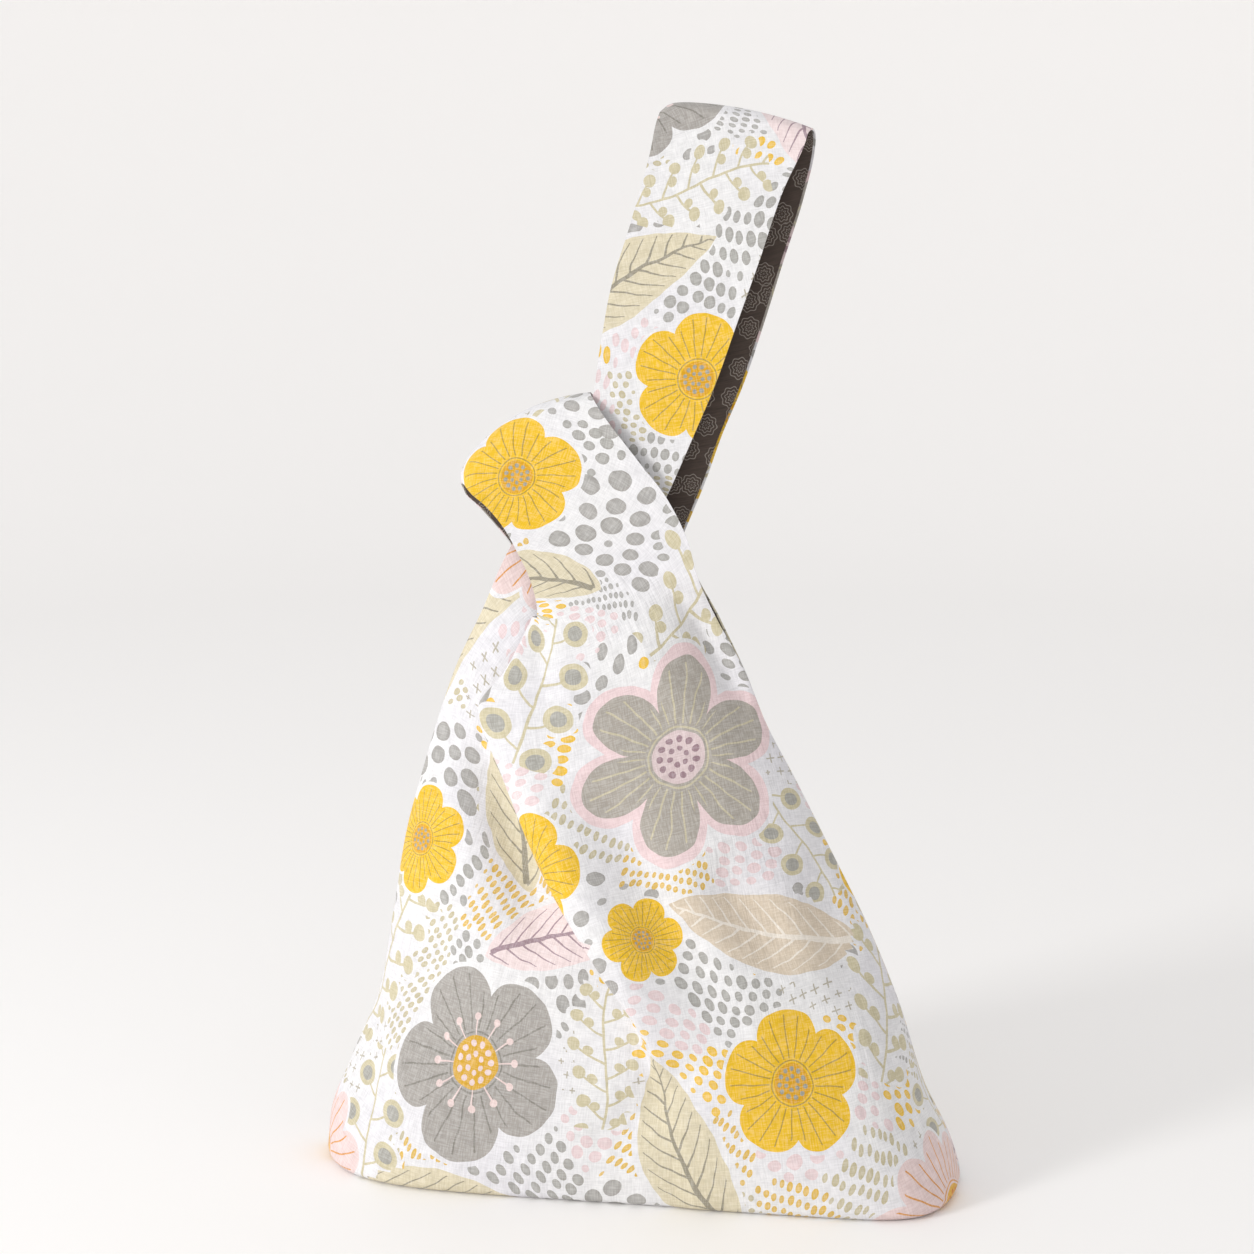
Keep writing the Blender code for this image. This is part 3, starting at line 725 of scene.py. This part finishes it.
def inked(add, base, code, *masks):
    # one ink, or the cloth's own colour, over the base where every mask is 1
    mask = masks[0]
    for other in masks[1:]:
        mask = add("MULTIPLY", mask, other)
    return add("MixRGB", mask, base, ink(code) if isinstance(code, str) else code)


def printedFlower(add, base, ground, waver):
    # petals fold round the middle by angle: spoke runs from -0.5 to 0.5 across each petal
    shape = flowerShape
    place = add("Attribute", attribute_name="flowerPlace", out="Vector")
    form = add("Attribute", attribute_name="flowerForm", out="Vector")
    x, y, _ = add("SeparateXYZ", add("VectorMath ADD", place, waver)).node.outputs
    petals, width, tone = add("SeparateXYZ", form).node.outputs
    shown = add("SeparateXYZ", place, out=2)
    away = add("VectorMath LENGTH", add("CombineXYZ", x, y, 0.0), out="Value")
    turns = add("DIVIDE", add("ARCTAN2", y, x), 2 * math.pi)
    spokes = add("MULTIPLY", turns, petals)
    spoke = add("SUBTRACT", spokes, add("ROUND", spokes))
    angle = add("DIVIDE", add("MULTIPLY", spoke, 2 * math.pi), petals)
    along = add("MULTIPLY", away, add("COSINE", angle))
    aside = add("MULTIPLY", away, add("SINE", angle))
    petalX = add("DIVIDE", add("SUBTRACT", along, shape["middle"]), shape["half"])
    fuller = add("MULTIPLY", width, add("MULTIPLY_ADD", along, *shape["flare"]))
    petalSpot = add("CombineXYZ", petalX, add("DIVIDE", aside, fuller), 0.0)
    edge = add("VectorMath LENGTH", petalSpot, out="Value")

    isHaloed = add("COMPARE", tone, haloed, halfTone)
    room = add("MULTIPLY_ADD", isHaloed, shape["haloRoom"], shape["room"])
    base = inked(add, base, ground, add("LESS_THAN", edge, room), shown)
    halo = add("LESS_THAN", edge, shape["halo"])
    base = inked(add, base, flowerInks["halo"], halo, isHaloed, shown)
    petal = add("LESS_THAN", edge, 1.0)
    base = inked(add, base, add("ValToRGB", tone, stops=flowerInks["petal"]), petal, shown)
    # the many-petalled flowers have fewer veins to a petal
    manyPetals = add("GREATER_THAN", tone, blush - halfTone)
    veins = add("MULTIPLY_ADD", manyPetals, shape["fewerVeins"], shape["veins"])
    vein = add("PINGPONG", add("MULTIPLY", spoke, veins), 0.5)
    vein = add("MULTIPLY", vein, add("DIVIDE", away, petals))
    vein = add("LESS_THAN", add("DIVIDE", vein, veins), shape["vein"])
    short = add("LESS_THAN", edge, shape["veinTo"])
    outer = add("GREATER_THAN", away, shape["veinFrom"])
    veinInk = add("ValToRGB", tone, stops=flowerInks["vein"])
    base = inked(add, base, veinInk, vein, short, outer, shown)
    base = inked(add, base, veinInk, add("COMPARE", away, *shape["ring"]), shown)
    heart = add("LESS_THAN", away, shape["heart"])
    base = inked(add, base, add("ValToRGB", tone, stops=flowerInks["heart"]), heart, shown)
    dotInk = add("ValToRGB", tone, stops=flowerInks["dot"])
    for ring, count, size in (*shape["dots"], shape["stamens"]):
        share = add("PINGPONG", add("MULTIPLY", turns, count), 0.5)
        arc = add("MULTIPLY", share, 2 * math.pi * ring / count)
        gap = add("CombineXYZ", arc, add("SUBTRACT", away, ring), 0.0)
        dots = add("LESS_THAN", add("VectorMath LENGTH", gap, out="Value"), size)
        if ring > shape["heart"]:
            # stamens, each on its thread, only on the open grey flower
            thread = add("LESS_THAN", add("ABSOLUTE", arc), shape["thread"])
            outer = add("GREATER_THAN", away, shape["heart"])
            thread = add("MULTIPLY", thread, outer)
            thread = add("MULTIPLY", thread, add("LESS_THAN", away, ring))
            isOpen = add("COMPARE", tone, openGrey, halfTone)
            dots = add("MULTIPLY", add("MAXIMUM", dots, thread), isOpen)
        base = inked(add, base, dotInk, dots, shown)
    return base


def printedSpray(add, base, ground, waver):
    place = add("Attribute", attribute_name="sprayPlace", out="Vector")
    form = add("Attribute", attribute_name="sprayForm", out="Vector")
    x, y, _ = add("SeparateXYZ", add("VectorMath ADD", place, waver)).node.outputs
    kind, tone, _ = add("SeparateXYZ", form).node.outputs
    far = add("ABSOLUTE", x)

    # a leaf with a bent midrib and veins that run forwards
    shape = leafShape
    isLeaf = add("COMPARE", kind, leafKind, halfKind)
    xx = add("MULTIPLY", x, x)
    bent = add("ADD", y, add("MULTIPLY", xx, shape["bend"]))
    upper = add("GREATER_THAN", bent, shape["rib"])
    bent = add("ABSOLUTE", add("SUBTRACT", bent, shape["rib"]))
    room = add("MAXIMUM", add("SUBTRACT", 1.0, xx), 0.0001)
    taper = add("SUBTRACT", shape["half"], add("MULTIPLY", x, shape["taper"]))
    widest = add("MULTIPLY", add("POWER", room, shape["round"]), taper)
    edge = add("DIVIDE", bent, widest)
    leaf = add("LESS_THAN", edge, 1.0)
    inside = add("LESS_THAN", far, 1.0)
    clear = add("LESS_THAN", edge, shape["room"])
    base = inked(add, base, ground, clear, inside, isLeaf)
    leafInk = add("ValToRGB", tone, stops=leafInks["leaf"])
    base = inked(add, base, leafInk, leaf, inside, isLeaf)
    veinInk = add("ValToRGB", tone, stops=leafInks["vein"])
    rib = add("LESS_THAN", bent, add("MULTIPLY_ADD", x, *shape["ribHalf"]))
    ribTo = add("LESS_THAN", far, shape["ribTo"])
    base = inked(add, base, veinInk, rib, leaf, ribTo, isLeaf)
    sweep = add("MULTIPLY", bent, add("MULTIPLY_ADD", bent, *shape["sweep"]))
    lean = add("MULTIPLY_ADD", upper, shape["setOver"], add("SUBTRACT", x, sweep))
    vein = add("PINGPONG", add("MULTIPLY", lean, shape["veins"]), 0.5)
    vein = add("LESS_THAN", vein, add("MULTIPLY_ADD", edge, *shape["vein"]))
    short = add("LESS_THAN", edge, shape["veinTo"])
    base = inked(add, base, veinInk, vein, short, inside, isLeaf)

    # a sprig: berries on twigs that leave its stem by turns to each side; a ringed one has fewer
    shape = sprigShape
    isRinged = add("COMPARE", kind, berryKind, halfKind)
    isPlain = add("SUBTRACT", 1.0, isRinged)
    wave = add("SINE", add("MULTIPLY", x, shape["wave"]))
    stemY = add("MULTIPLY_ADD", wave, shape["swing"], y)
    side = add("GREATER_THAN", stemY, 0.0)
    pitch = add("MULTIPLY_ADD", isRinged, *shape["pitch"])
    shifted = add("MULTIPLY_ADD", add("MULTIPLY", side, 0.5), pitch, x)
    step = add("FLOORED_MODULO", shifted, pitch)
    number = add("SUBTRACT", shifted, step)
    high = add("ABSOLUTE", stemY)
    twigLong = add("MULTIPLY_ADD", add("ABSOLUTE", number), *shape["twig"])
    twigAt = add("DIVIDE", high, twigLong)
    curl, slope, start = shape["curl"], shape["slope"], shape["start"]
    twigX = add("MULTIPLY_ADD", add("POWER", twigAt, curl), slope, start)
    isSprig = add("GREATER_THAN", kind, leafKind + halfKind)
    onTwig = add("LESS_THAN", twigAt, 1.0)
    near = add("LESS_THAN", far, shape["to"])
    # first the clear cloth beside it, then its own lines and berries
    for margin, colour in ((shape["room"], ground), (0.0, sprigInks["stem"])):
        twig = add("COMPARE", step, twigX, shape["line"] + margin)
        twig = add("MULTIPLY", twig, onTwig)
        stem = add("LESS_THAN", high, shape["line"] + margin)
        base = inked(add, base, colour, add("MAXIMUM", twig, stem), near, isSprig)
        for share, size, swell, setOver in shape["berries"]:
            gapX = add("SUBTRACT", step, start + slope * share**curl + setOver)
            gapY = add("SUBTRACT", high, add("MULTIPLY", twigLong, share))
            gap = add("CombineXYZ", gapX, add("MULTIPLY", gapY, shape["long"]), 0.0)
            gap = add("VectorMath LENGTH", gap, out="Value")
            reach = add("MULTIPLY_ADD", isRinged, swell, size + margin)
            berry = add("LESS_THAN", gap, reach)
            which = isSprig if swell else add("MULTIPLY", isSprig, isPlain)
            base = inked(add, base, colour, berry, near, which)
            if swell and not margin:
                core = add("LESS_THAN", gap, shape["core"])
                base = inked(add, base, sprigInks["core"], core, near, isRinged)
    return base


def clearOf(add, motif, rim, width, step):
    # how far in millimetres a filler's middle, one step from here, lies outside the nearest motif
    place = add("Attribute", attribute_name=motif + "Place", out="Vector")
    way = add("Attribute", attribute_name=motif + "Way", out="Vector")
    x, y, _ = add("SeparateXYZ", place).node.outputs
    along, aside, size = add("SeparateXYZ", way).node.outputs
    across = add("CombineXYZ", add("MULTIPLY", aside, -1.0), along, 0.0)
    stepX = add("VectorMath DOT_PRODUCT", step, way, out="Value")
    stepY = add("VectorMath DOT_PRODUCT", step, across, out="Value")
    y = add("DIVIDE", add("SUBTRACT", y, stepY), width)
    middle = add("CombineXYZ", add("SUBTRACT", x, stepX), y, 0.0)
    away = add("VectorMath LENGTH", middle, out="Value")
    return add("MULTIPLY", add("SUBTRACT", away, rim), size)


def printedFiller(add, base, flatSpot, spot, row):
    # one shape to a cell, every second line of cells set over by half: the middle of a cell says
    # which patch it belongs to, and shapes grow smaller towards the rim of their patch and a motif
    turn = {"Rotation": (0, 0, math.radians(row.turn)), "Scale": (row.wide, row.high, 1)}
    mapped = add("Mapping", spot, at=turn, vector_type="TEXTURE")
    x, y, _ = add("SeparateXYZ", mapped).node.outputs
    line = add("FLOOR", y)
    over = add("FRACT", add("MULTIPLY", line, 0.5))
    column = add("FLOOR", add("ADD", x, over))
    own = add("TexWhiteNoise", add("CombineXYZ", column, line, 0.0), **flatNoise)
    middle = add("CombineXYZ", add("SUBTRACT", column, over), line, 0.0)
    middle = add("VectorMath ADD", middle, (0.5, 0.5, 0.0))
    nudge = add("VectorMath SUBTRACT", own, (0.5, 0.5, 0.5))
    nudge = add("VectorMath MULTIPLY", nudge, (row.loose, row.loose, 0.0))
    nudged = add("VectorMath ADD", middle, nudge)
    gap = add("VectorMath SUBTRACT", mapped, nudged)
    # where that middle lies on the flat cloth, found by two steps back through the bend
    bent = add("Mapping", nudged, at=turn)
    here = add("VectorMath SUBTRACT", bent, (fillerWander / 2, fillerWander / 2, 0.0))
    for _ in range(2):
        bend = add("TexNoise", here, at=fillerBend, **flatNoise)
        here = add("VectorMath MULTIPLY_ADD", bend, (-fillerWander, -fillerWander, 0.0), bent)
    step = add("VectorMath SUBTRACT", flatSpot, here)
    offFlower = clearOf(add, "flower", motifRoom["flowerRim"], 1.0, step)
    offSpray = clearOf(add, "spray", motifRoom["sprayRim"], motifRoom["sprayHalf"], step)
    clear = add("SUBTRACT", add("MINIMUM", offFlower, offSpray), motifRoom["gap"])
    clear = add("MULTIPLY", clear, 2 / (row.wide + row.high))

    patchAt = add("Mapping", middle, at=turn)
    patchAt = add("VectorMath SCALE", patchAt, at={"Scale": 1 / patchSize})
    patch = {"at": {"Scale": 1.0, "Randomness": 0.9}, "voronoi_dimensions": "2D"}
    tone = add("SeparateColor", add("TexVoronoi", patchAt, out="Color", **patch))
    rim = add("TexVoronoi", patchAt, feature="DISTANCE_TO_EDGE", **patch)
    small = row.size * fillerLook["small"]
    reach = add("MapRange", add("SeparateColor", own, out=2), 0.0, 1.0, small, row.size)
    inner = add("MULTIPLY_ADD", rim, 2 * patchSize / (row.wide + row.high), fillerLook["atRim"])
    reach = add("MINIMUM", add("MINIMUM", reach, inner), clear)
    if row.shape == crossShape:
        x, y, _ = add("SeparateXYZ", add("VectorMath ABSOLUTE", gap)).node.outputs
        away = add("MAXIMUM", x, y)
        drawn = add("LESS_THAN", add("MINIMUM", x, y), fillerLook["crossArm"])
    else:
        away = add("VectorMath LENGTH", gap, out="Value")
        inkTo = row.size * fillerLook["inkTo"]
        drawn = add("MapRange", away, 0.0, inkTo, fillerLook["ink"], 1.0)
    drawn = add("MULTIPLY", drawn, add("LESS_THAN", away, reach))
    drawn = add("MULTIPLY", drawn, add("GREATER_THAN", reach, fillerLook["least"]))
    for low, high, code in row.inks:
        below, above = add("LESS_THAN", tone, high), add("GREATER_THAN", tone, low)
        base = inked(add, base, code, below, above, drawn)
    return base


# Noise scales are in waves to the millimetre of cloth. The threads of such a cotton lie about 0.35 mm
# apart and are drawn 0.7 mm apart, so that they show.
cottonLook = {
    "ground": ("#F8F7F7", "#F2F0F4"), "wash": {"Scale": 0.012, "Detail": 2.0},
    # how far outlines waver: motifs in shares of their reach, fillers in millimetres
    "motifWaver": {"Scale": 0.07, "Detail": 1.0}, "motifBy": (0.05, 0.05, 0.0),
    "fillerWaver": {"Scale": 0.14, "Detail": 1.0}, "fillerBy": (1.0, 1.0, 0.0),
    "mottle": {"Scale": 0.16, "Detail": 3.0},
    "warp": (1.5, 0.16, 1.0), "weft": (0.16, 1.5, 1.0), "thread": {"Scale": 1.0, "Detail": 1.0},
    "crumpleWay": {"Rotation": (0, 0, 0.35), "Scale": (0.22, 0.022, 1.0)},
    "crumple": {"Scale": 1.0, "Detail": 3.0, "Roughness": 0.55},
    "crumpled": {"Scale": 0.016, "Detail": 0.0},
    # what each noise, from one value to another, does: from one share to another
    "washIn": (0.40, 0.65, 0.0, 1.0), "mottleIn": (0.3, 0.7, 0.94, 1.03),
    "bareThread": (0.9, 1.3, 0.0, 0.16), "threadShade": (0.7, 1.3, 0.72, 0.83),
    "crumpledIn": (0.42, 0.62, 0.0, 1.0), "threadHigh": 0.11,
}
# Rings of eight lobes, line inside line, in cells of about 15 mm
liningLook = {
    "cloth": "#50443D", "line": "#A69D94", "cell": {"Scale": 1 / 15, "Randomness": 0.75},
    "lobes": 8.0, "lobeHigh": 0.24, "lines": 8.0, "lineWide": 0.14, "lineCount": 3.7,
    "ink": 0.75, "warp": (1.1, 0.07, 1.0), "warpShade": (0.3, 0.7, 0.8, 1.2),
}


def printedCotton():
    # printed cotton, a plain weave: matt, with ink that lets its uneven threads show through
    look = cottonLook
    material, add = newMaterial("printed_cotton")
    spot = add("VectorMath SCALE", add("UVMap", uv_map="cut"), at={"Scale": 1000.0})
    waver = add("TexNoise", spot, at=look["motifWaver"], **flatNoise)
    waver = add("VectorMath SUBTRACT", waver, (0.5, 0.5, 0.5))
    waver = add("VectorMath MULTIPLY", waver, look["motifBy"])
    rough = add("TexNoise", spot, at=look["fillerWaver"], **flatNoise)
    rough = add("VectorMath SUBTRACT", rough, (0.5, 0.5, 0.5))
    rough = add("VectorMath MULTIPLY_ADD", rough, look["fillerBy"], spot)
    bend = add("TexNoise", spot, at=fillerBend, **flatNoise)
    rough = add("VectorMath MULTIPLY_ADD", bend, (fillerWander, fillerWander, 0.0), rough)

    wash = add("MapRange", add("TexNoise", spot, at=look["wash"]), *look["washIn"])
    ground = add("MixRGB", wash, *map(ink, look["ground"]))
    base = ground
    for row in printFillers:
        base = printedFiller(add, base, spot, rough, row)
    base = printedSpray(add, base, ground, waver)
    base = printedFlower(add, base, ground, waver)
    # the ink lies a little unevenly
    mottle = add("TexNoise", spot, at=look["mottle"], noise_dimensions="2D")
    mottle = add("MapRange", mottle, *look["mottleIn"])
    base = add("VectorMath SCALE", base, at={"Scale": mottle})

    threads = []
    for way in ("warp", "weft"):
        drawn = add("VectorMath MULTIPLY", spot, look[way])
        threads.append(add("TexNoise", drawn, at=look["thread"], noise_dimensions="2D"))
    threads = add("ADD", *threads)
    base = add("MixRGB", add("MapRange", threads, *look["bareThread"]), base, ground)
    shade = add("MapRange", threads, *look["threadShade"])
    base = add("VectorMath SCALE", base, at={"Scale": shade})
    crumple = add("TexNoise", add("Mapping", spot, at=look["crumpleWay"]), at=look["crumple"])
    crumpled = add("MapRange", add("TexNoise", spot, at=look["crumpled"]), *look["crumpledIn"])
    relief = add("MULTIPLY_ADD", threads, look["threadHigh"], add("MULTIPLY", crumple, crumpled))
    bump = add("Bump", at={"Strength": 1.0, "Distance": 0.0010, "Height": relief})
    shader = add("BsdfPrincipled", at={
        "Base Color": base, "Roughness": 0.82, "Normal": bump,
        "Sheen Weight": 0.12, "Sheen Roughness": 0.5, "Specular IOR Level": 0.25,
    })
    add("OutputMaterial", shader)
    return material


def darkLining():
    # dark cotton lining, a plain weave printed with pale fine rings
    look = liningLook
    material, add = newMaterial("dark_lining_cotton")
    spot = add("VectorMath SCALE", add("UVMap", uv_map="cut"), at={"Scale": 1000.0})
    cells = add("TexVoronoi", spot, at=look["cell"], voronoi_dimensions="2D").node.outputs
    gap = add("VectorMath SUBTRACT", spot, cells["Position"])
    x, y, _ = add("SeparateXYZ", gap).node.outputs
    lobes = add("MULTIPLY", add("ARCTAN2", y, x), look["lobes"])
    away = add("MULTIPLY", cells["Distance"], look["lines"])
    away = add("MULTIPLY_ADD", add("COSINE", lobes), look["lobeHigh"], away)
    line = add("LESS_THAN", add("PINGPONG", away, 0.5), look["lineWide"])
    line = add("MULTIPLY", line, add("LESS_THAN", away, look["lineCount"]))
    line = add("MULTIPLY", line, look["ink"])
    base = add("MixRGB", line, ink(look["cloth"]), ink(look["line"]))
    warp = add("TexNoise", add("VectorMath MULTIPLY", spot, look["warp"]), at={"Scale": 1.0})
    shade = add("MapRange", warp, *look["warpShade"])
    base = add("VectorMath SCALE", base, at={"Scale": shade})
    bump = add("Bump", at={"Strength": 0.5, "Distance": 0.0004, "Height": warp})
    shader = add("BsdfPrincipled", at={"Base Color": base, "Roughness": 0.85, "Normal": bump})
    add("OutputMaterial", shader)
    return material


# The camera, light and floor

stageSet = {
    "cameraAt": (0.1830, -1.1624, 0.465), "cameraTurn": 9.3, "cameraDip": 5.75,
    "lens": 64.45, "sensor": 36.0, "shift": (-0.0026, -0.0900),
    "sky": 0.86, "skyTone": "#F7F7F8",
    "windowAt": (-1.80, -1.63, 0.83), "windowAim": (0.0, 0.0, 0.28),
    "windowSize": 0.5, "windowPower": 33.5,
    # radii of the rings of the level floor, which curves up beyond the last
    "flatFloor": (0.02, 1.0, 2.2),
    "curve": 1.2, "floorHeight": 1.25, "floorTurns": 96,
    "floorDrop": 0.0002,  # how far the floor lies below the bag
    "floorTone": "#FCFAF8",
}


def layFloor():
    # a pale floor that curves up all round into its own backdrop, so no horizon shows
    rings, curve, drop = (stageSet[key] for key in ("flatFloor", "curve", "floorDrop"))
    flat = rings[-1]
    profile = [(x, 0.0) for x in rings]
    for degrees in range(10, 91, 10):
        a = math.radians(degrees)
        profile.append((flat + curve * math.sin(a), curve * (1 - math.cos(a))))
    profile.append((flat + curve, stageSet["floorHeight"]))
    bm = bmesh.new()
    verts = [bm.verts.new((x, 0.0, z - drop)) for x, z in profile]
    edges = [bm.edges.new(pair) for pair in zip(verts, verts[1:])]
    bmesh.ops.spin(
        bm, geom=verts + edges, cent=(0, 0, 0), axis=(0, 0, 1), angle=2 * math.pi,
        steps=stageSet["floorTurns"], use_merge=True,
    )
    bmesh.ops.remove_doubles(bm, verts=bm.verts[:], dist=0.0001)
    middle = [e for e in bm.edges if e.is_boundary and e.verts[0].co.z < curve]
    bmesh.ops.holes_fill(bm, edges=middle)
    faceAlong(bm, Vector((0.0, 0.0, 1.0)))
    mesh = meshOf("floor", bm)
    mesh.shade_smooth()
    material, add = newMaterial("pale_floor")
    shader = add("BsdfPrincipled", at={"Base Color": ink(stageSet["floorTone"]), "Roughness": 0.6})
    add("OutputMaterial", shader)
    mesh.materials.append(material)
    placed("floor", mesh)


def setStage():
    layFloor()
    camera = placed("camera", bpy.data.cameras.new("camera"))
    bpy.context.scene.camera = camera
    camera.location = stageSet["cameraAt"]
    dip, turn = math.radians(stageSet["cameraDip"]), math.radians(stageSet["cameraTurn"])
    camera.rotation_euler = (math.pi / 2 - dip, 0, turn)
    camera.data.lens = stageSet["lens"]
    camera.data.shift_x, camera.data.shift_y = stageSet["shift"]
    camera.data.sensor_width = stageSet["sensor"]

    world = bpy.data.worlds.new("soft_daylight")
    bpy.context.scene.world = world
    world.use_nodes = True
    sky = world.node_tree.nodes["Background"]
    sky.inputs["Color"].default_value = ink(stageSet["skyTone"])
    sky.inputs["Strength"].default_value = stageSet["sky"]
    window = placed("window", bpy.data.lights.new("window", "AREA"))
    window.data.size = stageSet["windowSize"]
    window.data.energy = stageSet["windowPower"]
    window.location = stageSet["windowAt"]
    aim = Vector(stageSet["windowAim"]) - window.location
    window.rotation_euler = aim.to_track_quat("-Z", "Y").to_euler()
    bpy.context.scene.view_settings.view_transform = "Standard"


panels = bothPanels()
cotton, lining = printedCotton(), darkLining()
print("materials made")
for side, label, shift in ((front, "front", "frontShift"), (back, "back", "backShift")):
    sheet = laySheet("sheet_" + label, *panels[side], side)
    flat, corners = unfold(sheet)
    printCloth(sheet, flat, corners, repeatSize[shift])
    deep = clothCut["liningDepth"]
    outer = thicken(sheet, "printed_" + label, 0.0, "outer_" + label, cotton)
    inner = thicken(sheet, "lining_cloth_" + label, deep, "lining_" + label, lining)
    print("panel dressed:", label)
setStage()
print("stage set")
